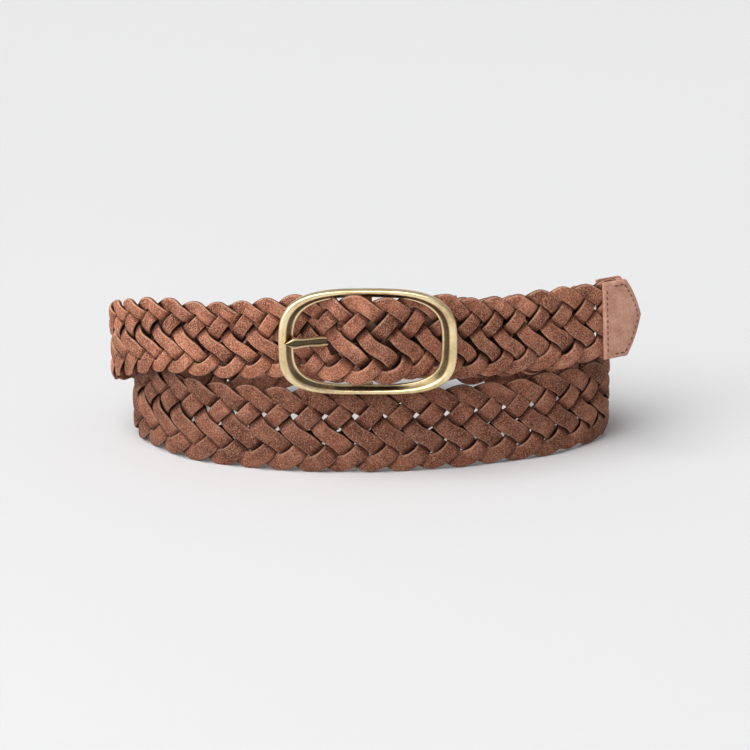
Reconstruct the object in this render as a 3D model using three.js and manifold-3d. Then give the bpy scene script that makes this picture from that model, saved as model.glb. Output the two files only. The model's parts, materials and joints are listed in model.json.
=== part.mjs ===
// A braided leather belt with an oval centre-bar buckle, fastened and coiled twice, standing on its edge.
// Millimetres, +Z up. The front of the coil faces -Y, and the belt runs from its tip, through the buckle,
// twice round the coil and back to the buckle's centre bar.
import * as THREE from "three";
import { mergeVertices } from "three/addons/utils/BufferGeometryUtils.js";
import Module from "manifold-3d";

const wasm = await Module();
wasm.setup();

// Driving dimensions
const STRAP_WIDTH = 32;
const LACE_COUNT = 6;
const LACE_GAP = 0.35;
const LACE_THICKNESS = 3.6;
const STEPS_PER_STRETCH = 2; // between one point of the route and the next
const BAR_AT = new THREE.Vector3(0, -45, 53.4); // centre of the buckle's bar
const BAR_RADIUS = 1.6;
const FRAME_OUTER = [33, 21]; // half width and half height
const FRAME_INNER = [27.4, 17.3];
const FRAME_SQUARENESS = [3.3, 3.2]; // exponents of the outer and inner superellipses
const FRAME_DEPTH = 4;
const FRAME_FORWARD = 3.5; // the ring's middle, forward of the bar
const FRAME_BOW = 3.5; // how far the frame's ends curve forward of its middle
const FRAME_STEPS = 72;
const PRONG_REACH = 31.5;
const PRONG_HEIGHT = 4;
const PRONG_THICKNESS = 2.6;
const PRONG_TILT = 10.3; // how far forward of the bar the prong lies where it rests on the frame
const EYE_RADII = [1.7, 3.1];
const CHAPE_STRETCHES = 3.5; // of the route, back from its end
const CHAPE_THICKNESS = 1.3;
const LEATHER_WIDTH = 30.5;
const CLEARANCE = 0.3;
const PRONG_SLOT = { low: -20, high: -1.5, front: -9, back: 3, halfHeight: 2.6 }; // from the bar
const CHAPE_SLOT = { low: -8, high: 4.2, reach: 8, room: 0.5 }; // from the bar, round the prong
const FOLD_STEPS = 12;
const FOLD_START = 0.04; // radians past square to the belt
const BAR_ENDS = 2.5; // of the bar, sunk in the frame at each end
const CAP_THICKNESS = 1.2;
const CAP_START = -5.5; // along the belt from the laces' ends
const CAP_SHOULDER = 4.5;
const CAP_POINT = 11.2;
const ROUND_SIDES = 24;
const POINT_STEPS = 6;
const LACE_COLOR = 0x8a5a48;
const TRIM_COLOR = 0x8d6152;
const BRASS_COLOR = 0xa08c5b;

// The frame's section, from its outer edge over a raised rim and down a bevel to a thin inner lip:
// shares of the way inwards and of the frame's depth
const FRAME_SECTION = [
  [0, -0.25], [0.14, -0.46], [0.45, -0.5], [0.62, -0.4], [0.92, 0.1], [1, 0.18],
  [1, 0.5], [0.2, 0.5], [0, 0.25],
];

// The prong's point seen from the front: distance from the tip and share of the prong's height
const PRONG_POINT = [[4.5, 0.45], [2, 0.38], [0, 0.125]];
const PRONG_NOSE = { reach: 0.85, fall: 0.9 }; // where the front turns back, and how far the tip drops
const PRONG_HEEL = { reach: 0.8, rise: 0.2 };

// The belt's middle line, from the tip's end to the centre bar: x, y and the height of the strap's middle
const ROUTE = [
  [93, -14.5, 50.8], [80, -20.5, 50.2], [68, -26, 49.8], [50, -33.5, 49.8], [38, -38.6, 50.8],
  [30, -41.4, 51.8], [20, -43.8, 53.4], [9, -49.9, 53.3], [0, -51.1, 53.4], [-9, -49.9, 53.4],
  [-20, -43.8, 53.4], [-30, -41.4, 52], [-42, -39.4, 50.4], [-58, -35, 48.9], [-70, -30.5, 48.6],
  [-80, -24, 47.4], [-91, -13, 43.2], [-97, 0, 37.5], [-95.5, 14, 31.5], [-86, 29, 27],
  [-70, 40.5, 24.2], [-45, 48, 22.6], [-15, 51.5, 22], [15, 51, 21.5], [45, 47, 20.4],
  [69, 38, 18.6], [84.5, 24.5, 17], [91, 9, 16.3], [90, -2.5, 16.1], [81, -14, 16.1],
  [68, -24, 16.1], [50, -32, 16.1], [29.5, -38.8, 16.1], [8, -42.3, 16.1], [-10.6, -43, 16.1],
  [-33, -41, 16.1], [-54.4, -34.5, 16.1], [-70.7, -26, 16.1], [-81, -15, 16.1], [-87.5, -4, 16.1],
  [-89, 6, 16.1], [-85, 18, 16.4], [-74, 28.5, 17.6], [-55, 37, 19.4], [-25, 42.5, 21.6],
  [5, 43.2, 23.6], [35, 40.5, 26], [58, 33.5, 29.6], [73.5, 22.5, 34.6], [82, 10, 41],
  [82.8, -2, 47], [78, -12, 49.8], [66, -20.4, 50], [50, -27.8, 50.2], [40, -31.4, 50.8],
  [28, -35.1, 52.2], [20, -37.5, 53], [13, -41.2, 53.3], [6, -44.4, 53.4],
];

function leather(color) {
  return new THREE.MeshStandardMaterial({ color, roughness: 0.8, metalness: 0 });
}

function brass() {
  return new THREE.MeshStandardMaterial({ color: BRASS_COLOR, roughness: 0.35, metalness: 1 });
}

function solidOf(geometry) {
  const bare = geometry.index ? geometry.toNonIndexed() : geometry.clone();
  bare.deleteAttribute("normal");
  bare.deleteAttribute("uv");
  const merged = mergeVertices(bare, 1e-4);
  const mesh = new wasm.Mesh({
    numProp: 3,
    vertProperties: merged.attributes.position.array,
    triVerts: new Uint32Array(merged.index.array),
  });
  return new wasm.Manifold(mesh);
}

function geometryOf(solid) {
  const made = solid.getMesh();
  const geometry = new THREE.BufferGeometry();
  geometry.setAttribute("position", new THREE.BufferAttribute(made.vertProperties, 3));
  geometry.setIndex(new THREE.BufferAttribute(made.triVerts, 1));
  geometry.computeVertexNormals();
  return geometry;
}

// A closed body from rings of points with the same number of corners, capped at both ends unless it loops
function loft(rings, looped = false) {
  const corners = rings[0].length;
  const points = rings.flat();
  const faces = [];
  const spans = looped ? rings.length : rings.length - 1;
  for (let i = 0; i < spans; i++) {
    const next = (i + 1) % rings.length;
    for (let k = 0; k < corners; k++) {
      const a = i * corners + k;
      const b = i * corners + ((k + 1) % corners);
      const c = next * corners + k;
      const d = next * corners + ((k + 1) % corners);
      faces.push(a, b, d, a, d, c);
    }
  }
  if (!looped) {
    const last = (rings.length - 1) * corners;
    for (let k = 1; k < corners - 1; k++) {
      faces.push(0, k + 1, k);
      faces.push(last, last + k, last + k + 1);
    }
  }
  const geometry = new THREE.BufferGeometry().setFromPoints(points);
  geometry.setIndex(faces);
  return geometry;
}

function beltCurve() {
  const points = ROUTE.map(([x, y, z]) => new THREE.Vector3(x, y, z));
  return new THREE.CatmullRomCurve3(points, false, "catmullrom", 0.5);
}

const STRETCHES = ROUTE.length - 1;

// The belt's own axes so many stretches from its tip: along it, across its width and out of its face
function beltAxes(curve, stretches) {
  const along = curve.getTangent(stretches / STRETCHES);
  const out = new THREE.Vector3(along.y, -along.x, 0).normalize();
  const across = new THREE.Vector3().crossVectors(along, out).normalize();
  if (across.z < 0) across.negate();
  return { at: curve.getPoint(stretches / STRETCHES), along, out, across };
}

// Each lace is a straight stand-in of the lace's share of the strap's width, as long as the belt
function laceGeometry(curve, row) {
  const height = (STRAP_WIDTH - LACE_GAP * LACE_COUNT) / LACE_COUNT;
  const middle = (row - (LACE_COUNT - 1) / 2) * (height + LACE_GAP);
  const rings = [];
  for (let i = 0; i <= STRETCHES * STEPS_PER_STRETCH; i++) {
    const { at, out, across } = beltAxes(curve, i / STEPS_PER_STRETCH);
    const ring = [[1, 1], [1, -1], [-1, -1], [-1, 1]].map(([o, a]) =>
      at.clone()
        .addScaledVector(out, (o * LACE_THICKNESS) / 2)
        .addScaledVector(across, middle + (a * height) / 2));
    rings.push(ring);
  }
  return loft(rings);
}

function boxAt(low, high) {
  const size = high.map((value, i) => value - low[i]);
  const geometry = new THREE.BoxGeometry(...size);
  return geometry.translate(...low.map((value, i) => value + size[i] / 2));
}

function prongSlot() {
  const { low, high, front, back, halfHeight } = PRONG_SLOT;
  return boxAt([low, BAR_AT.y + front, BAR_AT.z - halfHeight], [high, BAR_AT.y + back, BAR_AT.z + halfHeight]);
}

function makeLace(curve, row) {
  const whole = solidOf(laceGeometry(curve, row));
  const mesh = new THREE.Mesh(geometryOf(whole.subtract(solidOf(prongSlot()))), leather(LACE_COLOR));
  mesh.name = `lace_${row + 1}`;
  return mesh;
}

function superellipse(half, exponent, angle) {
  const c = Math.cos(angle);
  const s = Math.sin(angle);
  const x = half[0] * Math.sign(c) * Math.abs(c) ** (2 / exponent);
  const z = half[1] * Math.sign(s) * Math.abs(s) ** (2 / exponent);
  return [x, z];
}

function frameRing(angle) {
  const outer = superellipse(FRAME_OUTER, FRAME_SQUARENESS[0], angle);
  const inner = superellipse(FRAME_INNER, FRAME_SQUARENESS[1], angle);
  return FRAME_SECTION.map(([inward, depth]) => {
    const x = outer[0] + (inner[0] - outer[0]) * inward;
    const z = outer[1] + (inner[1] - outer[1]) * inward;
    const bow = -FRAME_BOW * (x / FRAME_OUTER[0]) ** 2;
    return new THREE.Vector3(x, bow + depth * FRAME_DEPTH, z);
  });
}

function makeFrame() {
  const rings = [];
  for (let i = 0; i < FRAME_STEPS; i++) rings.push(frameRing((-2 * Math.PI * i) / FRAME_STEPS));
  const ring = solidOf(loft(rings, true).translate(0, -FRAME_FORWARD, 0));
  const length = 2 * (FRAME_INNER[1] + BAR_ENDS);
  const bar = new THREE.CylinderGeometry(BAR_RADIUS, BAR_RADIUS, length, ROUND_SIDES).rotateX(Math.PI / 2);
  const mesh = new THREE.Mesh(geometryOf(ring.add(solidOf(bar))), brass());
  mesh.name = "buckle_frame";
  mesh.position.copy(BAR_AT);
  return mesh;
}

function makeProng() {
  const [hole, outside] = EYE_RADII;
  const half = PRONG_THICKNESS / 2;
  const side = new THREE.Shape();
  side.moveTo(0, -outside);
  side.lineTo(-PRONG_REACH * PRONG_NOSE.reach, -PRONG_TILT - half);
  side.lineTo(-PRONG_REACH, -PRONG_TILT + half - PRONG_NOSE.fall);
  side.lineTo(-PRONG_REACH, -PRONG_TILT + half);
  side.lineTo(-PRONG_REACH * PRONG_HEEL.reach, -PRONG_TILT + half + PRONG_HEEL.rise);
  side.lineTo(-outside * PRONG_HEEL.reach, 0);
  side.lineTo(0, 0);
  const shank = new THREE.ExtrudeGeometry(side, { depth: PRONG_HEIGHT, bevelEnabled: false });
  shank.translate(0, 0, -PRONG_HEIGHT / 2);
  const eye = new THREE.CylinderGeometry(outside, outside, PRONG_HEIGHT, ROUND_SIDES).rotateX(Math.PI / 2);
  const bore = new THREE.CylinderGeometry(hole, hole, PRONG_HEIGHT * 2, ROUND_SIDES).rotateX(Math.PI / 2);
  const face = new THREE.Shape();
  face.moveTo(outside + 1, -PRONG_HEIGHT / 2);
  face.lineTo(outside + 1, PRONG_HEIGHT / 2);
  for (const [back, share] of PRONG_POINT) face.lineTo(back - PRONG_REACH, PRONG_HEIGHT * share);
  for (const [back, share] of [...PRONG_POINT].reverse()) {
    face.lineTo(back - PRONG_REACH, -PRONG_HEIGHT * share);
  }
  const outline = new THREE.ExtrudeGeometry(face, { depth: PRONG_REACH, bevelEnabled: false });
  outline.rotateX(Math.PI / 2).translate(0, PRONG_REACH / 3, 0);
  const body = solidOf(shank).add(solidOf(eye)).subtract(solidOf(bore)).intersect(solidOf(outline));
  const mesh = new THREE.Mesh(geometryOf(body), brass());
  mesh.name = "prong";
  mesh.position.copy(BAR_AT);
  return mesh;
}

// The chape is one strip of leather folded round the bar, with the braid's end between its two legs
function chapeSide(curve, offset) {
  const points = [];
  for (let i = 0; i <= CHAPE_STRETCHES * STEPS_PER_STRETCH; i++) {
    const { at, out } = beltAxes(curve, STRETCHES - i / STEPS_PER_STRETCH);
    points.push(new THREE.Vector2(at.x, at.y).addScaledVector(new THREE.Vector2(out.x, out.y), offset));
  }
  return points;
}

function foldArc(radius) {
  const points = [];
  for (let i = 0; i <= FOLD_STEPS; i++) {
    const angle = Math.PI * (0.5 + i / FOLD_STEPS) + FOLD_START;
    points.push(new THREE.Vector2(BAR_AT.x + radius * Math.cos(angle), BAR_AT.y + radius * Math.sin(angle)));
  }
  return points;
}

function makeChape(curve) {
  const inside = LACE_THICKNESS / 2 + CLEARANCE;
  const outside = inside + CHAPE_THICKNESS;
  const [near, far] = [inside, outside].map((offset) => {
    const back = chapeSide(curve, -offset).reverse();
    const front = chapeSide(curve, offset);
    const turned = back[back.length - 1].y > front[0].y;
    const [first, last] = turned ? [back, front] : [[...front].reverse(), [...back].reverse()];
    return [...first, ...foldArc(offset), ...last];
  });
  const outline = new THREE.Shape([...far, ...near.reverse()]);
  const strip = new THREE.ExtrudeGeometry(outline, { depth: LEATHER_WIDTH, bevelEnabled: false });
  strip.translate(0, 0, BAR_AT.z - LEATHER_WIDTH / 2);
  const { low, high, reach, room } = CHAPE_SLOT;
  const half = PRONG_HEIGHT / 2 + room;
  const slot = boxAt([low, BAR_AT.y - reach, BAR_AT.z - half], [high, BAR_AT.y + reach, BAR_AT.z + half]);
  const mesh = new THREE.Mesh(geometryOf(solidOf(strip).subtract(solidOf(slot))), leather(TRIM_COLOR));
  mesh.name = "chape";
  return mesh;
}

// The tip's outline: straight behind, with a shallow point in front
function tipShape(start, inset) {
  const half = LEATHER_WIDTH / 2 - inset;
  const shape = new THREE.Shape();
  shape.moveTo(start, -half);
  shape.lineTo(CAP_SHOULDER - inset, -half);
  shape.quadraticCurveTo(CAP_POINT - 1 - inset, -half * 0.42, CAP_POINT - inset, 0);
  shape.quadraticCurveTo(CAP_POINT - 1 - inset, half * 0.42, CAP_SHOULDER - inset, half);
  shape.lineTo(start, half);
  return shape;
}

function makeTipPiece(name, curve, start, inset, low, high) {
  const { at, along, out, across } = beltAxes(curve, 0);
  const geometry = new THREE.ExtrudeGeometry(tipShape(start, inset), {
    depth: high - low,
    bevelEnabled: false,
    curveSegments: POINT_STEPS,
  });
  geometry.translate(0, 0, low);
  const axes = new THREE.Matrix4().makeBasis(along.clone().negate(), across, out.clone());
  if (axes.determinant() < 0) axes.makeBasis(along.clone().negate(), across.clone().negate(), out.clone());
  const mesh = new THREE.Mesh(geometry, leather(TRIM_COLOR));
  mesh.name = name;
  mesh.applyMatrix4(axes.setPosition(at));
  return mesh;
}

function makeTip(curve) {
  const inside = LACE_THICKNESS / 2 + CLEARANCE;
  const outside = inside + CAP_THICKNESS;
  return [
    makeTipPiece("tip_cap_front", curve, CAP_START, 0, -outside, -inside),
    makeTipPiece("tip_cap_back", curve, CAP_START, 0, inside, outside),
    makeTipPiece("tip_filler", curve, CLEARANCE * 2, 0.4, CLEARANCE - inside, inside - CLEARANCE),
  ];
}

const belt = new THREE.Group();
const curve = beltCurve();
for (let row = 0; row < LACE_COUNT; row++) belt.add(makeLace(curve, row));
belt.add(makeChape(curve), ...makeTip(curve), makeFrame(), makeProng());

// The origin is the middle of the belt's footprint, on the surface that it stands on
const extent = new THREE.Box3().setFromObject(belt, true);
const middle = extent.getCenter(new THREE.Vector3());
belt.position.set(-middle.x, -middle.y, -extent.min.z);

export default belt;
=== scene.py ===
"""A braided leather belt with an oval centre-bar buckle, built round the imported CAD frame. Metres, +Z up."""

import json
import math
import random

import bmesh
import bpy
import numpy as np
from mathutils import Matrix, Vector


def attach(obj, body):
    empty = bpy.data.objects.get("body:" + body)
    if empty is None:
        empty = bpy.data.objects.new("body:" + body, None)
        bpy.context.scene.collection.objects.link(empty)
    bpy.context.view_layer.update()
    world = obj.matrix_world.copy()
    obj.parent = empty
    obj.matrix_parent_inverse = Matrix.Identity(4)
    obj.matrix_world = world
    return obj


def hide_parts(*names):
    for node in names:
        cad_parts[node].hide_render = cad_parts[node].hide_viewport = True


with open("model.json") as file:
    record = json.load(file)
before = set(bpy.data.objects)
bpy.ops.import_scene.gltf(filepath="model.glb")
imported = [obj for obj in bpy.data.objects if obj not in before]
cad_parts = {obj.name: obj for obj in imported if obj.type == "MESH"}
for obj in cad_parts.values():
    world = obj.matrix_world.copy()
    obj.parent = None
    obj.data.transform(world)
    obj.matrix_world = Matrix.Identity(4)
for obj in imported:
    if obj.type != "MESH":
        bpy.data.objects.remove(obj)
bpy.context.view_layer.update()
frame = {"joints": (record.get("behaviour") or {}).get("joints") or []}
scene = bpy.context.scene
MM = 0.001

# The bar and the belt's line, in millimetres, as the CAD part has them
BAR_AT = (0.0, -45.0, 53.4)
BAR_RADIUS = 1.6
ROUTE = [
    (93, -14.5, 50.8), (80, -20.5, 50.2), (68, -26, 49.8), (50, -33.5, 49.8), (38, -38.6, 50.8),
    (30, -41.4, 51.8), (20, -43.8, 53.4), (9, -49.9, 53.3), (0, -51.1, 53.4), (-9, -49.9, 53.4),
    (-20, -43.8, 53.4), (-30, -41.4, 52), (-42, -39.4, 50.4), (-58, -35, 48.9), (-70, -30.5, 48.6),
    (-80, -24, 47.4), (-91, -13, 43.2), (-97, 0, 37.5), (-95.5, 14, 31.5), (-86, 29, 27),
    (-70, 40.5, 24.2), (-45, 48, 22.6), (-15, 51.5, 22), (15, 51, 21.5), (45, 47, 20.4),
    (69, 38, 18.6), (84.5, 24.5, 17), (91, 9, 16.3), (90, -2.5, 16.1), (81, -14, 16.1),
    (68, -24, 16.1), (50, -32, 16.1), (29.5, -38.8, 16.1), (8, -42.3, 16.1), (-10.6, -43, 16.1),
    (-33, -41, 16.1), (-54.4, -34.5, 16.1), (-70.7, -26, 16.1), (-81, -15, 16.1), (-87.5, -4, 16.1),
    (-89, 6, 16.1), (-85, 18, 16.4), (-74, 28.5, 17.6), (-55, 37, 19.4), (-25, 42.5, 21.6),
    (5, 43.2, 23.6), (35, 40.5, 26), (58, 33.5, 29.6), (73.5, 22.5, 34.6), (82, 10, 41),
    (82.8, -2, 47), (78, -12, 49.8), (66, -20.4, 50), (50, -27.8, 50.2), (40, -31.4, 50.8),
    (28, -35.1, 52.2), (20, -37.5, 53), (13, -41.2, 53.3), (6, -44.4, 53.4),
]

# The braid: six laces, each crossing the strap and back in twelve steps of half a pitch
LACES = 6
STEPS = 12
ROW_HEIGHTS = (13.2, 10.4, 5.4, -1.0, -4.8, -10.6, -13.2, -10.6, -4.8, -1.0, 5.4, 10.4)
ROW_SIDES = (0.1, -1, 1, -1, -1, 1, 0.1, -1, 1, 1, -1, 1)  # 1 is over, -1 under, seen from outside the coil
PITCHES = (
    (0, 9.9), (55, 9.7), (75, 11.2), (120, 11.4), (145, 9.9), (195, 9.7), (270, 10.6), (400, 11.2),
    (560, 11.6), (760, 11.2), (960, 10.4), (1100, 10.2),
)
PHASE = -0.48
PHASE_TURN = (250.0, 450.0, 0.82)  # steps gained behind the coil, where the second turn begins
LACE_THICKNESS = 2.28
LACE_RISE = 1.25
# Along the belt from its tip: a lace's width as a share of the pitch
LACE_SPREADS = (
    (0, 0.6), (36, 0.58), (52, 0.5), (100, 0.5), (240, 0.51), (500, 0.57), (860, 0.57), (900, 0.5),
)
LACE_DOME = 0.38
# Along the belt from its tip: painted shade on the laces' colour, darkest through the lower turn where the
# belt lies in shade; how far the braid is raised; and how wide it is
PAINTED_SHADE_ALONG = (
    (0, 0.84), (60, 0.86), (105, 0.86), (135, 0.98), (230, 1.0), (320, 0.74), (560, 0.6), (760, 0.6),
    (850, 0.7), (1000, 0.8),
)
LIFTS = (
    (0, 1.6), (30, 1.2), (70, 0.9), (95, 1.2), (120, 0.9), (160, 1.2), (230, 1.3), (400, 0.85),
    (850, 0.85), (900, -1.2), (990, -1.2),
)
WIDTHS = ((0, 0.98), (60, 1.01), (80, 1.09), (112, 1.09), (140, 0.98), (170, 0.92), (230, 0.91), (400, 1.0),
          (560, 1.01), (760, 1.01), (900, 1.0), (1200, 0.97))
SAMPLES_PER_STEP = 7

# The buckle. The ring is a little less high than the CAD solid's, and the chape below is narrower
FRAME_OUTER = (33.0, 20.25)
FRAME_INNER = (27.4, 16.95)
FRAME_SQUARENESS = (3.3, 3.2)
FRAME_DEPTH = 4.0
FRAME_FORWARD = 3.5
FRAME_BOW = 3.5
PRONG_REACH = 31.5
PRONG_TILT = 10.3
EYE_RADII = (1.7, 3.1)
PRONG_HEIGHT = 4.0
PRONG_SAG = 1.3  # how far the shank bows back of a straight line
PRONG_HALF_THICK = 1.15
PRONG_CLEAR = 2.4
PRONG_RISE = 0.8
PRONG_SHARE = 0.96
PRONG_OUT = -17.0  # where the prong comes out in front of the braid, from the bar
PRONG_SPAN = (-27.0, -3.0)  # where laces make way for it, from the bar
PRONG_STRETCH = 140  # and how far from the tip they do
PRONG_NEAR = 7
PRONG_EASE = 2.4
PRONG_LEAN = PRONG_TILT - 0.4

# Leather trim
CAP_START = -5.5
CAP_SHOULDER = 4.5
CAP_POINT = 11.2
LEATHER_WIDTH = 30.5
CHAPE_STRETCHES = 3.5
CHAPE_WIDTH = 25.0
CHAPE_THICKNESS = 1.3
LACE_SPACE = 2.1  # from the belt's middle to the inside of the cap or the chape

JOINT = next(j for j in frame["joints"] if j["name"] == "prong_pivot")
SHIFT = Vector(JOINT["pos_m"]) - Vector(BAR_AT) * MM


def place(x, y, z):
    """A point of the part's own millimetres in the frame's metres."""
    return Vector((x, y, z)) * MM + SHIFT


# ---------------------------------------------------------------- camera
CAMERA_LENS = 149
CAMERA_SENSOR = 36
CAMERA_AIM = (0.0003, 0.0, 0.0249)
CAMERA_DISTANCE = 1.2
CAMERA_ELEVATION = math.radians(18)


def make_camera():
    data = bpy.data.cameras.new("camera")
    data.lens = CAMERA_LENS
    data.sensor_width = CAMERA_SENSOR
    cam = bpy.data.objects.new("camera", data)
    scene.collection.objects.link(cam)
    back = Vector((0, -math.cos(CAMERA_ELEVATION), math.sin(CAMERA_ELEVATION)))
    cam.location = Vector(CAMERA_AIM) + back * CAMERA_DISTANCE
    cam.rotation_mode = "QUATERNION"
    cam.rotation_quaternion = (-back).to_track_quat("-Z", "Y")
    scene.camera = cam


make_camera()


# ---------------------------------------------------------------- the belt's line
def catmull_rom(points, t):
    """The uniform Catmull-Rom curve through points, at t stretches from its start."""
    last = len(points) - 1
    i = min(int(t), last - 1)
    w = t - i
    p1, p2 = points[i], points[i + 1]
    p0 = points[i - 1] if i > 0 else 2 * p1 - p2
    p3 = points[i + 2] if i + 2 <= last else 2 * p2 - p1
    a = 2 * p1
    b = p2 - p0
    c = 2 * p0 - 5 * p1 + 4 * p2 - p3
    d = 3 * p1 - p0 - 3 * p2 + p3
    return 0.5 * (a + b * w + c * w * w + d * w ** 3)


def belt_line():
    """Dense samples of the belt's middle line: distance from the tip, points and the belt's axes."""
    points = [np.array(p, float) for p in ROUTE]
    ts = np.linspace(0, len(points) - 1, (len(points) - 1) * 40 + 1)
    at = np.array([catmull_rom(points, t) for t in ts])
    length = np.concatenate([[0], np.cumsum(np.linalg.norm(np.diff(at, axis=0), axis=1))])
    even = np.linspace(0, length[-1], int(length[-1] * 4))
    at = np.stack([np.interp(even, length, at[:, k]) for k in range(3)], axis=1)
    along = np.gradient(at, even, axis=0)
    along /= np.linalg.norm(along, axis=1)[:, None]
    out = np.stack([-along[:, 1], along[:, 0], np.zeros(len(at))], axis=1)
    out /= np.linalg.norm(out, axis=1)[:, None]
    kernel = np.ones(9) / 9
    padded = np.pad(out, ((4, 4), (0, 0)), mode="edge")
    out = np.stack([np.convolve(padded[:, k], kernel, mode="valid") for k in range(3)], axis=1)
    out -= along * np.sum(out * along, axis=1)[:, None]
    out /= np.linalg.norm(out, axis=1)[:, None]
    across = np.cross(along, out)
    across *= np.sign(across[:, 2])[:, None]
    return even, at, along, out, across


def table(rows, s):
    return np.interp(s, [row[0] for row in rows], [row[1] for row in rows])


S, AT, ALONG, OUT, ACROSS = belt_line()
LENGTH = S[-1]
AT = AT + ACROSS * table(LIFTS, S)[:, None]


def sample(table, s):
    return np.stack([np.interp(s, S, table[:, k]) for k in range(3)], axis=-1)


def on_belt(s, v, h):
    """Points at distances s along the belt, v up its width and h out of its face."""
    return sample(AT, s) + sample(ACROSS, s) * v[..., None] + sample(OUT, s) * h[..., None]


# ---------------------------------------------------------------- mesh helpers
def new_object(name, vertices, faces):
    mesh = bpy.data.meshes.new(name)
    mesh.from_pydata([tuple(v) for v in vertices], [], faces)
    mesh.update()
    mesh.polygons.foreach_set("use_smooth", [True] * len(mesh.polygons))
    o = bpy.data.objects.new(name, mesh)
    scene.collection.objects.link(o)
    return o


def loft(name, rings, looped=False):
    """A closed mesh through rings of points (millimetres), capped at both ends unless it loops."""
    rings = np.asarray(rings, float)
    count, corners = rings.shape[:2]
    vertices = rings.reshape(-1, 3) * MM + np.array(SHIFT)
    faces = []
    for i in range(count if looped else count - 1):
        a, b = i * corners, ((i + 1) % count) * corners
        for k in range(corners):
            n = (k + 1) % corners
            faces.append((a + k, a + n, b + n, b + k))
    if not looped:
        faces.append(tuple(range(corners - 1, -1, -1)))
        faces.append(tuple((count - 1) * corners + k for k in range(corners)))
    o = new_object(name, vertices, faces)
    tidy_normals(o)
    return o


def tidy_normals(o):
    bm = bmesh.new()
    bm.from_mesh(o.data)
    bmesh.ops.recalc_face_normals(bm, faces=bm.faces)
    bm.to_mesh(o.data)
    bm.free()


def add_modifier(o, kind, **values):
    m = o.modifiers.new(kind.lower(), kind)
    for key, value in values.items():
        setattr(m, key, value)
    return m


def apply_modifiers(o):
    evaluated = o.evaluated_get(bpy.context.evaluated_depsgraph_get())
    mesh = bpy.data.meshes.new_from_object(evaluated)
    o.modifiers.clear()
    o.data = mesh
    return o


def rounded_section(width, thickness, radius=0.5, dome=0.0, arc=3):
    """Points round a rectangle with rounded corners: across and out, in millimetres."""
    half, high = width / 2 - radius, thickness / 2 - radius
    points = []
    for cx, cy, start in ((half, high, 0), (-half, high, 90), (-half, -high, 180), (half, -high, 270)):
        for i in range(arc + 1):
            angle = math.radians(start + 90 * i / arc)
            points.append([cx + radius * math.cos(angle), cy + radius * math.sin(angle)])
        if start in (0, 180):
            points.append([0, math.copysign(thickness / 2 + dome, cy)])
    return np.array(points)


# ---------------------------------------------------------------- materials
class Nodes:
    """Short calls for building a material's node tree."""

    def __init__(self, name):
        self.material = bpy.data.materials.new(name)
        self.material.use_nodes = True
        self.tree = self.material.node_tree
        self.shader = self.tree.nodes["Principled BSDF"]

    def node(self, kind):
        return self.tree.nodes.new(kind)

    def link(self, a, b):
        self.tree.links.new(a, b)

    def noise(self, coords, scale, detail=4, roughness=0.6, stretch=None):
        n = self.tree.nodes.new("ShaderNodeTexNoise")
        n.inputs["Scale"].default_value = scale
        n.inputs["Detail"].default_value = detail
        n.inputs["Roughness"].default_value = roughness
        if stretch:
            mapping = self.tree.nodes.new("ShaderNodeMapping")
            mapping.inputs["Scale"].default_value = stretch
            self.link(coords, mapping.inputs["Vector"])
            coords = mapping.outputs["Vector"]
        self.link(coords, n.inputs["Vector"])
        return n.outputs["Fac"]

    def voronoi(self, coords, scale):
        n = self.tree.nodes.new("ShaderNodeTexVoronoi")
        n.inputs["Scale"].default_value = scale
        self.link(coords, n.inputs["Vector"])
        return n.outputs["Distance"]

    def ramp(self, fac, stops):
        n = self.tree.nodes.new("ShaderNodeValToRGB")
        ramp = n.color_ramp
        while len(ramp.elements) < len(stops):
            ramp.elements.new(0.5)
        for element, (position, color) in zip(ramp.elements, stops):
            element.position = position
            element.color = (*color, 1) if len(color) == 3 else color
        self.link(fac, n.inputs["Fac"])
        return n.outputs["Color"]

    def math(self, operation, a, b=None):
        n = self.tree.nodes.new("ShaderNodeMath")
        n.operation = operation
        for socket, value in zip(n.inputs, (a, b)):
            if isinstance(value, (int, float)):
                socket.default_value = value
            elif value is not None:
                self.link(value, socket)
        return n.outputs["Value"]

    def mix(self, fac, a, b, blend="MIX"):
        n = self.tree.nodes.new("ShaderNodeMix")
        n.data_type = "RGBA"
        n.blend_type = blend
        for key, value in (("Factor", fac), ("A", a), ("B", b)):
            sockets = [s for s in n.inputs if s.name == key and s.enabled]
            socket = sockets[0]
            if isinstance(value, (int, float)):
                socket.default_value = value
            elif isinstance(value, tuple):
                socket.default_value = (*value, 1)
            else:
                self.link(value, socket)
        return next(o for o in n.outputs if o.enabled and o.type == "RGBA")

    def bump(self, height, strength, distance, normal=None):
        n = self.tree.nodes.new("ShaderNodeBump")
        n.inputs["Strength"].default_value = strength
        n.inputs["Distance"].default_value = distance
        self.link(height, n.inputs["Height"])
        if normal is not None:
            self.link(normal, n.inputs["Normal"])
        return n.outputs["Normal"]


def grey(value):
    return (value, value, value)


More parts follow.
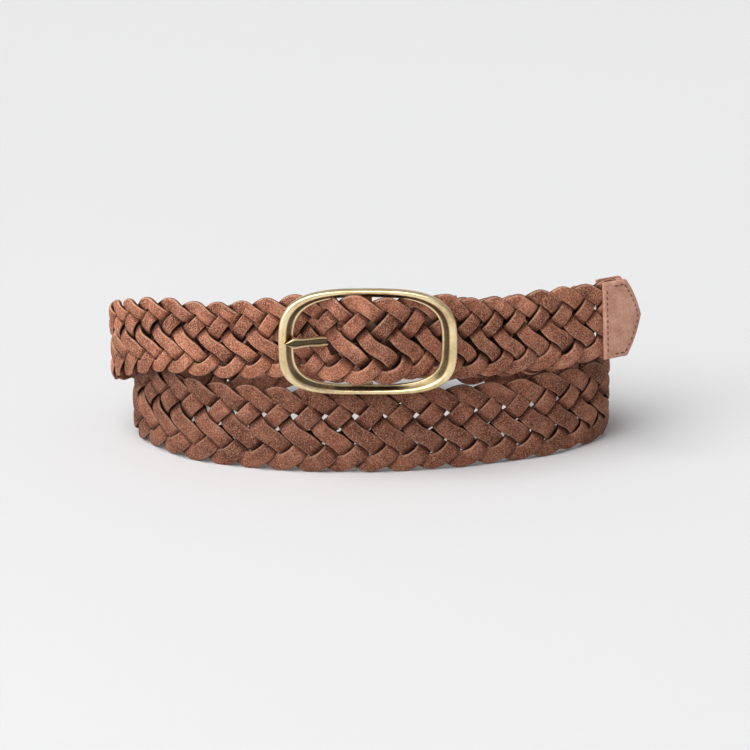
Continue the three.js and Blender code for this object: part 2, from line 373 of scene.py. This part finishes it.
def leather_material(name, dark, middle, light, edge, pits=1.0):
    """Waxed, grained leather: blotchy colour, dark pits, pale scuffs and paler worn edges by UV map, with
    painted shade: near black where a lace runs under others, darker side faces, and darker through the belt's
    shaded lower turn.
    """
    m = Nodes(name)
    coords = m.node("ShaderNodeTexCoord").outputs["Object"]
    uv = m.node("ShaderNodeUVMap").outputs["UV"]
    split = m.node("ShaderNodeSeparateXYZ")
    m.link(uv, split.inputs["Vector"])
    blotch = m.noise(coords, 120, 5, 0.65)
    grain = m.noise(coords, 1550, 4, 0.72)
    fleck = m.noise(coords, 2300, 2, 0.6)
    fine = m.noise(coords, 3400, 2, 0.6)
    lace_tone = m.noise(uv, 0.55, 2, 0.5)
    colour = m.ramp(blotch, [(0.32, dark), (0.5, middle), (0.68, light)])
    tone = m.ramp(lace_tone, [(0.36, (0.7, 0.66, 0.64)), (0.64, (1.24, 1.2, 1.18))])
    colour = m.mix(1.0, colour, tone, "MULTIPLY")
    speckle = m.ramp(grain, [(0.4, grey(0.52)), (0.475, grey(0.85)), (0.53, grey(1.06)), (0.6, grey(1.5))])
    colour = m.mix(0.9 * pits, colour, speckle, "MULTIPLY")
    freckle = m.ramp(fleck, [(0.55, grey(0.0)), (0.62, grey(0.7 * pits))])
    colour = m.mix(freckle, colour, edge)
    away = m.math("ABSOLUTE", m.math("SUBTRACT", split.outputs["X"], 0.5))
    worn = m.math("ADD", away, m.math("MULTIPLY", m.math("SUBTRACT", grain, 0.5), 0.3))
    rim = m.ramp(worn, [(0.4, grey(0.0)), (0.47, grey(0.5)), (0.53, grey(0.15))])
    colour = m.mix(rim, colour, edge)
    # Painted shade: the lie map darkens a lace where it runs under its neighbours (its x) and along the belt
    # (its y).
    lie = m.node("ShaderNodeUVMap")
    lie.uv_map = "lie"
    painted_shade_split = m.node("ShaderNodeSeparateXYZ")
    m.link(lie.outputs["UV"], painted_shade_split.inputs["Vector"])
    # Painted shade at the crossings: near black where a lace runs furthest under, fading out where it comes
    # over.
    dips = [(0.25, (0.06, 0.04, 0.035)), (0.66, (0.5, 0.44, 0.42)), (0.88, grey(1.0))]
    painted_crossing_shade = m.ramp(painted_shade_split.outputs["X"], dips)
    colour = m.mix(1.0, colour, painted_crossing_shade, "MULTIPLY")
    # Painted shade along the belt: the laces of the lower turn darker, as that turn lies in shade.
    painted_turn_shade = m.ramp(painted_shade_split.outputs["Y"], [(0.0, grey(0.0)), (1.0, grey(1.0))])
    colour = m.mix(1.0, colour, painted_turn_shade, "MULTIPLY")
    # Painted shade: the laces' side faces, which face into the gaps between them, darkened.
    painted_side_shade = m.ramp(away, [(0.485, grey(1.0)), (0.496, (0.36, 0.3, 0.28))])
    colour = m.mix(1.0, colour, painted_side_shade, "MULTIPLY")
    m.link(colour, m.shader.inputs["Base Color"])
    rough = m.ramp(grain, [(0.3, grey(0.85)), (0.7, grey(0.6))])
    m.link(rough, m.shader.inputs["Roughness"])
    m.shader.inputs["Specular IOR Level"].default_value = 0.16
    pebbles = m.voronoi(coords, 1300)
    first = m.bump(pebbles, 0.45, 0.00022)
    second = m.bump(grain, 0.9, 0.0004, first)
    third = m.bump(fine, 0.4, 0.00014, second)
    m.link(third, m.shader.inputs["Normal"])
    return m.material


def brass_material(name, bands):
    """Brushed antique brass: warm, slightly dull, darker in its tarnish, with fine scratches, and a near-black
    band of painted shade where the given bands say.
    """
    m = Nodes(name)
    coords = m.node("ShaderNodeTexCoord").outputs["Object"]
    uv = m.node("ShaderNodeUVMap").outputs["UV"]
    split = m.node("ShaderNodeSeparateXYZ")
    m.link(uv, split.inputs["Vector"])
    tarnish = m.noise(coords, 110, 5, 0.65)
    brushed = m.noise(coords, 1100, 3, 0.7)
    golds = [(0.32, (0.6, 0.45, 0.23)), (0.5, (0.86, 0.68, 0.39)), (0.68, (0.98, 0.82, 0.52))]
    colour = m.ramp(tarnish, golds)
    # Painted shade: a near-black band where the UV map's x falls inside the given bands.
    ragged = m.math("ADD", split.outputs["X"], m.math("MULTIPLY", m.math("SUBTRACT", tarnish, 0.5), 0.12))
    painted_shade_band = m.ramp(ragged, bands)
    colour = m.mix(painted_shade_band, colour, (0.075, 0.055, 0.028))
    m.link(colour, m.shader.inputs["Base Color"])
    m.shader.inputs["Metallic"].default_value = 1.0
    m.link(m.ramp(brushed, [(0.3, grey(0.24)), (0.7, grey(0.4))]), m.shader.inputs["Roughness"])
    first = m.bump(brushed, 0.12, 0.00005)
    m.link(m.bump(tarnish, 0.1, 0.0002, first), m.shader.inputs["Normal"])
    return m.material


def thread_material(name):
    m = Nodes(name)
    coords = m.node("ShaderNodeTexCoord").outputs["Object"]
    twist = m.noise(coords, 2600, 2, 0.5, stretch=(1, 0.3, 1))
    colour = m.ramp(twist, [(0.3, (0.045, 0.018, 0.01)), (0.7, (0.15, 0.065, 0.035))])
    m.link(colour, m.shader.inputs["Base Color"])
    m.shader.inputs["Roughness"].default_value = 0.7
    m.link(m.bump(twist, 0.5, 0.0001), m.shader.inputs["Normal"])
    return m.material


LACE_LEATHER = leather_material(
    "lace_leather", (0.19, 0.063, 0.034), (0.31, 0.113, 0.065), (0.45, 0.192, 0.118), (0.68, 0.39, 0.26)
)
TRIM_LEATHER = leather_material(
    "trim_leather", (0.5, 0.25, 0.175), (0.64, 0.35, 0.255), (0.76, 0.46, 0.35), (0.84, 0.56, 0.44), 0.28
)
# The frame's bands paint shade: near black across its inner bevel.
BRASS = brass_material(
    "brass_with_painted_shade", [(0.49, grey(0.0)), (0.57, grey(0.8)), (0.83, grey(0.85)), (0.9, grey(0.05))]
)
# The prong's bands paint shade: near black along the middle of its shank, its groove in front and its back.
PRONG_BRASS = brass_material("prong_brass_with_painted_shade", [(0.5, grey(0.96)), (0.64, grey(0.0))])
THREAD = thread_material("thread")


def finish_piece(o, material, body):
    o.data.materials.clear()
    o.data.materials.append(material)
    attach(o, body)
    return o


# ---------------------------------------------------------------- the braided laces
def periodic(values, q):
    """A smooth curve through values, one a step, that repeats after them all."""
    values = np.array(values, float)
    i = np.floor(q).astype(int)
    w = q - i
    p0, p1, p2, p3 = (values[(i + k) % len(values)] for k in (-1, 0, 1, 2))
    square = (2 * p0 - 5 * p1 + 4 * p2 - p3) * w ** 2
    cube = (3 * p1 - p0 - 3 * p2 + p3) * w ** 3
    return 0.5 * (2 * p1 + (p2 - p0) * w + square + cube)


def side_of(q):
    """How far over or under a lace is, from -1 to 1: flat across each crossing, steep between them."""
    values = np.array(ROW_SIDES, float)
    i = np.floor(q).astype(int)
    w = np.clip((q - i - 0.16) / 0.68, 0, 1)
    w = w * w * (3 - 2 * w)
    return values[i % STEPS] * (1 - w) + values[(i + 1) % STEPS] * w


def braid_steps(s):
    """How many half pitches lie between the tip and s."""
    fine = np.linspace(0, LENGTH, 4000)
    pitch = np.interp(fine, [p[0] for p in PITCHES], [p[1] for p in PITCHES])
    steps = np.concatenate([[0], np.cumsum(2 / pitch[:-1] * np.diff(fine))])
    start, end, gained = PHASE_TURN
    steps += gained * np.clip((fine - start) / (end - start), 0, 1)
    return np.interp(s, fine, steps)


def prong_depth(x):
    """How far forward of the bar the middle of the prong's shank lies, x to the left of it."""
    share = np.clip(-x / PRONG_REACH, 0, 1)
    return PRONG_LEAN * share - PRONG_SAG * np.sin(math.pi * share)


def pass_prong(s, v, h):
    """Laces that cross the prong right of its way out lie in front of it, and the others behind it."""
    h = h.copy()
    ground = on_belt(s, v, np.zeros(len(s)))
    for i in np.nonzero(np.diff(np.sign(v)))[0]:
        if s[i] > PRONG_STRETCH or not PRONG_SPAN[0] < ground[i, 0] < PRONG_SPAN[1]:
            continue
        near = np.abs(s - s[i]) < PRONG_NEAR
        prong = ground[near, 1] - (BAR_AT[1] - prong_depth(ground[near, 0]))
        share = np.clip((PRONG_CLEAR + PRONG_EASE - np.abs(v[near])) / PRONG_EASE, 0, 1)
        share = share * share * (3 - 2 * share)
        room = PRONG_HALF_THICK + LACE_THICKNESS / 2
        if ground[i, 0] > PRONG_OUT:
            target = np.maximum(h[near], prong + room)
        else:
            target = np.minimum(h[near], prong - room)
        h[near] = h[near] * (1 - share) + target * share
    return h


def lace_section():
    """A lace's section, domed on both faces with rounded edges: share of its half width, and height."""
    half = LACE_THICKNESS / 2
    top = []
    for w in (-1.0, -0.985, -0.94, -0.86, -0.7, -0.45, -0.15, 0.15, 0.45, 0.7, 0.86, 0.94, 0.985, 1.0):
        edge = max(0.0, (abs(w) - 0.8) / 0.2)
        round_off = half * math.sqrt(max(0.0, 1 - edge ** 2.2)) * 0.86
        top.append((w, round_off + 0.14 * half - LACE_DOME * w * w * 0.8))
    bottom = [(w, -height) for w, height in top]
    return np.array(top[::-1] + bottom)


def lace_rings(index):
    count = int(braid_steps(np.array([LENGTH]))[0] * SAMPLES_PER_STEP)
    s = np.linspace(0, LENGTH, count)
    q = braid_steps(s) + PHASE + index * STEPS / LACES
    chance = random.Random(100 + index)
    drift = [chance.uniform(0, 2 * math.pi) for _ in range(4)]
    v = periodic(ROW_HEIGHTS, q) * table(WIDTHS, s)
    v += 0.3 * np.sin(s / 17.0 + drift[0]) + 0.26 * np.sin(s / 6.1 + drift[1])
    h = LACE_RISE * side_of(q) + 0.1 * np.sin(s / 9.1 + drift[2])
    h = pass_prong(s, v, h)
    middle = on_belt(s, v, h)
    along = np.gradient(middle, axis=0)
    along /= np.linalg.norm(along, axis=1)[:, None]
    out = sample(OUT, s)
    out -= along * np.sum(out * along, axis=1)[:, None]
    out /= np.linalg.norm(out, axis=1)[:, None]
    wide = np.cross(along, out)
    roll = 0.1 * np.sin(q * math.pi / 3 + drift[3])
    out, wide = (
        out * np.cos(roll)[:, None] + wide * np.sin(roll)[:, None],
        wide * np.cos(roll)[:, None] - out * np.sin(roll)[:, None],
    )
    pitch = np.interp(s, [p[0] for p in PITCHES], [p[1] for p in PITCHES])
    width = pitch * table(LACE_SPREADS, s) * (1 + 0.05 * np.sin(s / 4.7 + drift[1]))
    section = lace_section()
    share = section[:, 0]
    across = share[None, :] * (width / 2)[:, None]
    height = np.broadcast_to(section[:, 1][None, :], across.shape)
    rings = middle[:, None, :] + wide[:, None, :] * across[..., None] + out[:, None, :] * height[..., None]
    folded = np.clip((np.abs(periodic(ROW_HEIGHTS, q)) - 10.9) / 1.5, 0, 1)
    return s, share, rings, side_of(q), folded


def make_lace(index):
    s, share, rings, side, folded = lace_rings(index)
    rings[..., 2] = np.maximum(rings[..., 2], 0.05 - SHIFT.z / MM)  # the lowest folds rest on the ground
    lace = loft(f"braided_lace_{index + 1}", rings)
    corners = len(share)
    layer = lace.data.uv_layers.new(name="UVMap")
    vertex = np.zeros(len(lace.data.loops), int)
    lace.data.loops.foreach_get("vertex_index", vertex)
    uv = np.stack([share[vertex % corners] * 0.5 + 0.5, s[vertex // corners] / 10 + 37 * index], axis=1)
    layer.data.foreach_set("uv", uv.astype(np.float32).ravel())
    # The lie map carries painted shade: its x from how far over or under the lace is, with the folds kept
    # light, and its y from the table of painted shade along the belt.
    shown = side[vertex // corners]
    top = np.where(vertex % corners < corners // 2, shown, -shown) + folded[vertex // corners]
    lie = np.stack([top * 0.5 + 0.5, table(PAINTED_SHADE_ALONG, s)[vertex // corners]], axis=1)
    lace.data.uv_layers.new(name="lie").data.foreach_set("uv", lie.astype(np.float32).ravel())
    finish_piece(lace, LACE_LEATHER, "belt")
    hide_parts(f"lace_{index + 1}")
    return lace


# ---------------------------------------------------------------- the buckle
def superellipse(half, exponent, angle):
    c, s = math.cos(angle), math.sin(angle)
    return (
        half[0] * math.copysign(abs(c) ** (2 / exponent), c),
        half[1] * math.copysign(abs(s) ** (2 / exponent), s),
    )


def ring_uv(o, across, side):
    """A UV map from each corner of a lofted ring: how far across the metal's face it is, and front or back."""
    layer = o.data.uv_layers.new(name="UVMap")
    vertex = np.zeros(len(o.data.loops), int)
    o.data.loops.foreach_get("vertex_index", vertex)
    corner = vertex % len(across)
    uv = np.stack([np.array(across)[corner], np.array(side)[corner]], axis=1)
    layer.data.foreach_set("uv", uv.astype(np.float32).ravel())


def make_frame_piece():
    section = (
        (0, -0.12), (0.03, -0.36), (0.16, -0.485), (0.34, -0.5), (0.48, -0.44), (0.54, -0.34),
        (0.82, 0.0), (0.88, 0.03), (0.97, 0.03), (1, 0.09), (1, 0.42), (0.94, 0.5), (0.12, 0.5), (0.0, 0.38),
    )
    rings = []
    turns = 192
    for i in range(turns):
        angle = 2 * math.pi * i / turns
        ox, oz = superellipse(FRAME_OUTER, FRAME_SQUARENESS[0], angle)
        ix, iz = superellipse(FRAME_INNER, FRAME_SQUARENESS[1], angle)
        ring = []
        for inward, depth in section:
            x, z = ox + (ix - ox) * inward, oz + (iz - oz) * inward
            y = depth * FRAME_DEPTH - FRAME_BOW * (x / FRAME_OUTER[0]) ** 2 - FRAME_FORWARD
            ring.append((BAR_AT[0] + x, BAR_AT[1] + y, BAR_AT[2] + z))
        rings.append(ring)
    ring = loft("buckle_ring", rings, looped=True)
    # The UV map's x, across the face, places the painted shade band on the inner bevel.
    ring_uv(ring, [inward for inward, _ in section], [0.0 if depth < 0.2 else 0.45 for _, depth in section])
    add_modifier(ring, "SUBSURF", levels=1, render_levels=1)
    apply_modifiers(ring)
    finish_piece(ring, BRASS, "buckle")
    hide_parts("buckle_frame")


def make_bar():
    sides, rings = 40, []
    reach = FRAME_INNER[1] + 0.9
    shares = (
        (-1, 1.25), (-0.97, 1.2), (-0.93, 1.0), (-0.5, 1), (0, 1), (0.5, 1), (0.93, 1.0),
        (0.97, 1.2), (1, 1.25),
    )
    for share, swell in shares:
        ring = []
        for k in range(sides):
            a = 2 * math.pi * k / sides
            x = BAR_RADIUS * swell * math.cos(a)
            y = BAR_RADIUS * math.sin(a) * min(swell, 1.0)
            ring.append((BAR_AT[0] + x, BAR_AT[1] + y, BAR_AT[2] + reach * share))
        rings.append(ring)
    bar = loft("buckle_centre_bar", rings)
    flat_uv(bar, 0.0)
    finish_piece(bar, BRASS, "buckle")


def make_prong_piece():
    """A cast prong: a rounded shank with a shallow wave in its sides and a pointed tip, and its eye."""
    stations = (
        (2.2, 3.7, 2.3), (5, 3.8, 2.3), (9, 3.5, 2.3), (13, 3.3, 2.3), (16.5, 3.2, 2.3), (19.2, 4.0, 2.3),
        (21.7, 3.0, 2.3), (23.6, 3.5, 2.3), (25.4, 3.2, 2.2), (27.9, 4.7, 2.1),
        (29.5, 3.0, 1.9), (30.8, 1.2, 1.5), (31.4, 0.4, 0.9),
    )
    face = (
        (-1, 0.1), (-0.97, 0.75), (-0.84, 1.0), (-0.68, 0.98), (-0.52, 0.5), (0, 0.4), (0.52, 0.5),
        (0.68, 0.98), (0.84, 1.0), (0.97, 0.75), (1, 0.1), (0.95, -0.8), (0.75, -1), (0, -1), (-0.75, -1),
        (-0.95, -0.8),
    )
    slope = math.atan2(PRONG_LEAN, PRONG_REACH)
    out = np.array([math.sin(slope), -math.cos(slope), 0])
    rings = []
    for full_reach, tall, thick in stations:
        reach = full_reach * PRONG_SHARE
        depth = float(prong_depth(np.array(-reach)))
        at = np.array(BAR_AT) + np.array([-reach, -depth, PRONG_RISE * reach / PRONG_REACH])
        ring = [at + np.array([0, 0, up * tall / 2]) + out * forward * thick / 2 for up, forward in face]
        rings.append(ring)
    shank = loft("prong_shank", rings)
    # The UV map's x, how far from the shank's middle, places the painted shade along its groove.
    ring_uv(shank, [abs(up) for up, _ in face], [0.0 if forward > 0 else 0.45 for _, forward in face])
    add_modifier(shank, "SUBSURF", levels=2, render_levels=2)
    apply_modifiers(shank)
    finish_piece(shank, PRONG_BRASS, "prong")
    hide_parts("prong")
    eye_rings = []
    inner, outer = EYE_RADII
    profile = rounded_section(PRONG_HEIGHT, outer - inner, 0.35)
    for k in range(48):
        a = 2 * math.pi * k / 48
        radial = np.array([math.cos(a), math.sin(a), 0])
        middle = np.array(BAR_AT) + radial * (inner + outer) / 2
        eye_rings.append([middle + np.array([0, 0, p[0]]) + radial * p[1] for p in profile])
    eye = loft("prong_eye", eye_rings, looped=True)
    flat_uv(eye, 1.0)
    finish_piece(eye, BRASS, "prong")


# ---------------------------------------------------------------- the leather tip and chape
def flat_uv(o, across=0.5):
    """A UV map with one value all over, which keeps a piece clear of its material's bands of painted shade,
    and a lie map at full brightness, which keeps it clear of the leather's painted shade.
    """
    layer = o.data.uv_layers.new(name="UVMap")
    layer.data.foreach_set("uv", [across, 0.5] * len(o.data.loops))
    lie = o.data.uv_layers.new(name="lie")
    lie.data.foreach_set("uv", [1.0, 1.0] * len(o.data.loops))


def tip_half_height(u, inset=0.0):
    """The cap's half height at u along it: full to its shoulder, then a softly curved point."""
    half = LEATHER_WIDTH / 2 - inset
    shoulder, point = CAP_SHOULDER - inset, CAP_POINT - inset
    if u <= shoulder:
        return half
    share = min(1.0, (u - shoulder) / (point - shoulder))
    return half * max(0.0, (1 - share) * (1 - 0.32 * share * (1 - share)) + 0.62 * share * (1 - share))


def tip_fall(u):
    """How much of its thickness the tip keeps at u: all of it to its body's end, a quarter at its point."""
    return 1.0 - 0.75 * max(0.0, (u - 2.0) / (CAP_POINT - 2.0)) ** 2


def tip_space(u):
    """From the belt's middle to the inside of the cap at u."""
    return LACE_SPACE * (0.35 + 0.65 * tip_fall(u))


def tip_axes():
    at, along, out, across = AT[0], ALONG[0], OUT[0], ACROSS[0]
    return at, -along, out, across


def tip_point(u, w, h):
    at, forward, out, across = tip_axes()
    return at + forward * u + across * w + out * h


def make_tip_plate(name, node, side):
    """One ply of the tip: a pointed leather plate, crowned a little, its rim pressed in to the stitching."""
    thick = CHAPE_THICKNESS
    us = [CAP_START + (CAP_POINT - CAP_START) * (1 - (1 - i / 36) ** 1.35) for i in range(37)]
    rings = []
    for u in us:
        half = max(tip_half_height(u), 0.12)
        ring = []
        cells = 28
        fall = tip_fall(u)
        for k in range(cells + 1):
            w = half * math.cos(math.pi * k / cells)
            rim = min((half - abs(w)) / 1.6, (u - CAP_START) / 1.3 + 0.25, 1.0)
            crown = 0.28 * (1 - (w / half) ** 2) * fall
            groove = 0.22 * math.exp(-(((half - abs(w)) - 2.0) / 0.5) ** 2) * (half > 3)
            lift = tip_space(u) + thick * (0.55 + 0.45 * max(rim, 0) ** 0.5) + crown - groove
            ring.append(tip_point(u, w, side * lift))
        for k in range(cells, -1, -1):
            w = half * math.cos(math.pi * k / cells)
            ring.append(tip_point(u, w, side * (tip_space(u) - 0.05)))
        rings.append(ring)
    plate = loft(name, rings)
    flat_uv(plate)
    finish_piece(plate, TRIM_LEATHER, "belt")
    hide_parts(node)
    return plate


def make_tip_filler():
    rings = []
    for i in range(25):
        u = 0.6 + (CAP_POINT - 1.0) * (i / 24)
        half = max(tip_half_height(u, 0.5), 0.1)
        reach = tip_space(u) - 0.12
        corners = ((half, reach), (-half, reach), (-half, -reach), (half, -reach))
        rings.append([tip_point(u, w, h) for w, h in corners])
    filler = loft("tip_filler_leather", rings)
    add_modifier(filler, "BEVEL", width=0.2 * MM, segments=2)
    apply_modifiers(filler)
    flat_uv(filler)
    finish_piece(filler, TRIM_LEATHER, "belt")
    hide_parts("tip_filler")


def stitch_mesh(name, path, normals, pitch=2.3, length=1.75, radius=0.27):
    """A row of thread stitches, each a short tapered bead that dips into the leather at both ends."""
    path = np.array(path, float)
    normals = np.array(normals, float)
    run = np.concatenate([[0], np.cumsum(np.linalg.norm(np.diff(path, axis=0), axis=1))])
    count = int(run[-1] / pitch)
    vertices, faces = [], []
    for n in range(count):
        start = (run[-1] - (count - 1) * pitch - length) / 2 + n * pitch
        base = len(vertices)
        sides, steps = 8, 7
        for i in range(steps):
            t = i / (steps - 1)
            s = start + length * t
            at = np.array([np.interp(s, run, path[:, k]) for k in range(3)])
            ahead = np.array([np.interp(s + 0.05, run, path[:, k]) for k in range(3)])
            up = np.array([np.interp(s, run, normals[:, k]) for k in range(3)])
            tangent = ahead - at
            tangent /= np.linalg.norm(tangent) + 1e-12
            up -= tangent * up.dot(tangent)
            up /= np.linalg.norm(up)
            sidewards = np.cross(tangent, up)
            swell = math.sin(math.pi * (0.12 + 0.76 * t)) ** 0.5
            centre = at + up * (0.26 * math.sin(math.pi * t) - 0.16)
            for k in range(sides):
                a = 2 * math.pi * k / sides
                vertices.append(centre + radius * swell * (sidewards * math.cos(a) + up * math.sin(a)))
        for i in range(steps - 1):
            for k in range(sides):
                a, b = base + i * sides, base + (i + 1) * sides
                m = (k + 1) % sides
                faces.append((a + k, a + m, b + m, b + k))
        faces.append(tuple(base + k for k in range(sides - 1, -1, -1)))
        faces.append(tuple(base + (steps - 1) * sides + k for k in range(sides)))
    o = new_object(name, np.array(vertices) * MM + np.array(SHIFT), faces)
    tidy_normals(o)
    finish_piece(o, THREAD, "belt")
    return o


def tip_surface(u, w, side):
    half = max(tip_half_height(u), 0.12)
    crown = 0.28 * (1 - (w / half) ** 2) * tip_fall(u)
    return tip_point(u, w, side * (tip_space(u) + CHAPE_THICKNESS + crown - 0.12))


def make_tip_stitching(side, name):
    inset = 2.0
    reach = LEATHER_WIDTH / 2 - inset
    straight = [tip_surface(CAP_START + 1.4, w, side) for w in np.linspace(-reach, reach, 40)]
    us = np.linspace(CAP_START + 3.2, CAP_POINT - inset, 60)
    heights = [max(tip_half_height(u + inset * 0.55) - inset * 0.85, 0.0) for u in us]
    upper = [tip_surface(u, w, side) for u, w in zip(us, heights)]
    lower = [tip_surface(u, -w, side) for u, w in zip(us[::-1], heights[::-1])]
    normal = OUT[0] * side
    stitch_mesh(name + "_edge", straight, [normal] * len(straight))
    around = upper + lower
    stitch_mesh(name + "_point", around, [normal] * len(around))


def chape_path():
    """The chape's middle line: up one leg from its end, round the bar, and back down the other leg."""
    points = [np.array(p, float) for p in ROUTE]
    last = len(points) - 1
    ts = np.linspace(last - CHAPE_STRETCHES, last, 30)
    middle = np.array([catmull_rom(points, t) for t in ts])
    along = np.gradient(middle, axis=0)
    along /= np.linalg.norm(along[:, :2], axis=1)[:, None]
    out = np.stack([-along[:, 1], along[:, 0], np.zeros(len(middle))], axis=1)
    reach = LACE_SPACE + CHAPE_THICKNESS / 2
    front = middle + out * reach
    back = middle - out * reach
    arc = []
    for i in range(15):
        a = math.pi * (1.5 - i / 14)
        arc.append((BAR_AT[0] + reach * math.cos(a), BAR_AT[1] + reach * math.sin(a), BAR_AT[2]))
    line = np.array(list(front) + arc + list(back[::-1]))
    line[:, 2] = BAR_AT[2]
    return line


def make_chape():
    line = chape_path()
    along = np.gradient(line, axis=0)
    along /= np.linalg.norm(along, axis=1)[:, None] + 1e-12
    side = np.stack([along[:, 1], -along[:, 0], np.zeros(len(line))], axis=1)
    section = rounded_section(CHAPE_WIDTH, CHAPE_THICKNESS, 0.4, 0.05)
    rings = [[p + np.array([0, 0, a]) + s * b for a, b in section] for p, s in zip(line, side)]
    chape = loft("chape_leather", rings)
    cut_slot(chape)
    flat_uv(chape)
    finish_piece(chape, TRIM_LEATHER, "belt")
    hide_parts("chape")
    for label, rows in (("front", line[2:30]), ("back", line[-30:-2][::-1])):
        normal_sign = -1 if label == "front" else 1
        for edge in (-1, 1):
            path = rows.copy()
            path[:, 2] += edge * (CHAPE_WIDTH / 2 - 2)
            direction = np.gradient(path, axis=0)
            normal = np.stack([direction[:, 1], -direction[:, 0], np.zeros(len(path))], axis=1)
            normal /= np.linalg.norm(normal, axis=1)[:, None]
            normal *= np.sign(normal[:, 1] * normal_sign)[:, None]
            path += normal * (CHAPE_THICKNESS / 2)
            stitch_mesh(f"chape_stitching_{label}_{'upper' if edge > 0 else 'lower'}", path, normal)


def cut_slot(chape):
    """The long slot in the fold that the prong's eye turns in."""
    cutter = bpy.data.meshes.new("slot_cutter")
    bm = bmesh.new()
    bmesh.ops.create_cube(bm, size=1)
    room = PRONG_HEIGHT + 1.4
    for v in bm.verts:
        v.co = place(
            BAR_AT[0] - 2 + v.co.x * 13, BAR_AT[1] + v.co.y * 20, BAR_AT[2] + v.co.z * room
        )
    bm.to_mesh(cutter)
    bm.free()
    box = bpy.data.objects.new("slot_cutter", cutter)
    scene.collection.objects.link(box)
    add_modifier(chape, "BOOLEAN", operation="DIFFERENCE", object=box, solver="EXACT")
    apply_modifiers(chape)
    bpy.data.objects.remove(box)


# ---------------------------------------------------------------- stage
def make_stage():
    size = FLOOR_HALF
    corners = [(-size, -size, 0), (size, -size, 0), (size, size, 0), (-size, size, 0)]
    floor = new_object("floor", corners, [(0, 1, 2, 3)])
    m = Nodes("floor")
    m.shader.inputs["Base Color"].default_value = FLOOR_COLOUR
    m.shader.inputs["Roughness"].default_value = 0.9
    floor.data.materials.append(m.material)


def make_light(name, at, size, power, aim=(0, 0, 0.03)):
    data = bpy.data.lights.new(name, "AREA")
    data.shape = "RECTANGLE"
    data.size, data.size_y = size
    data.energy = power
    o = bpy.data.objects.new(name, data)
    scene.collection.objects.link(o)
    o.location = at
    o.rotation_mode = "QUATERNION"
    o.rotation_quaternion = (Vector(aim) - Vector(at)).to_track_quat("-Z", "Y")


SKY = ((0.0, 1.0), (0.09, 1.0), (0.3, 0.36), (0.9, 0.56))  # brightness from the horizon up
SKY_STRENGTH = 0.78
SUN_POWER = 3.5
SUN_ANGLE = math.radians(60)
SUN_TOWARDS = (0.6, 0.5, -1.1)
FLOOR_COLOUR = (0.62, 0.62, 0.625, 1)
FLOOR_HALF = 3.0


def make_lights():
    world = bpy.data.worlds.new("studio")
    world.use_nodes = True
    nodes, links = world.node_tree.nodes, world.node_tree.links
    background = nodes["Background"]
    background.inputs["Strength"].default_value = SKY_STRENGTH
    coords = nodes.new("ShaderNodeTexCoord")
    split = nodes.new("ShaderNodeSeparateXYZ")
    ramp = nodes.new("ShaderNodeValToRGB")
    stops = ramp.color_ramp.elements
    while len(stops) < len(SKY):
        stops.new(0.5)
    for stop, (position, value) in zip(stops, SKY):
        stop.position = position
        stop.color = (value, value, value, 1)
    links.new(coords.outputs["Generated"], split.inputs["Vector"])
    links.new(split.outputs["Z"], ramp.inputs["Fac"])
    links.new(ramp.outputs["Color"], background.inputs["Color"])
    scene.world = world
    sun = bpy.data.lights.new("key", "SUN")
    sun.energy = SUN_POWER
    sun.angle = SUN_ANGLE
    lamp = bpy.data.objects.new("key", sun)
    scene.collection.objects.link(lamp)
    lamp.rotation_mode = "QUATERNION"
    lamp.rotation_quaternion = Vector(SUN_TOWARDS).to_track_quat("-Z", "Y")
    make_light("left_softbox", (-0.75, -0.7, 0.45), (0.5, 0.5), 2.6)
    scene.view_settings.view_transform = "Standard"


for index in range(LACES):
    make_lace(index)
make_frame_piece()
make_bar()
make_prong_piece()
make_tip_plate("tip_cap_front_leather", "tip_cap_front", 1)
make_tip_plate("tip_cap_back_leather", "tip_cap_back", -1)
make_tip_filler()
make_tip_stitching(1, "tip_stitching_front")
make_tip_stitching(-1, "tip_stitching_back")
make_chape()
make_stage()
make_lights()
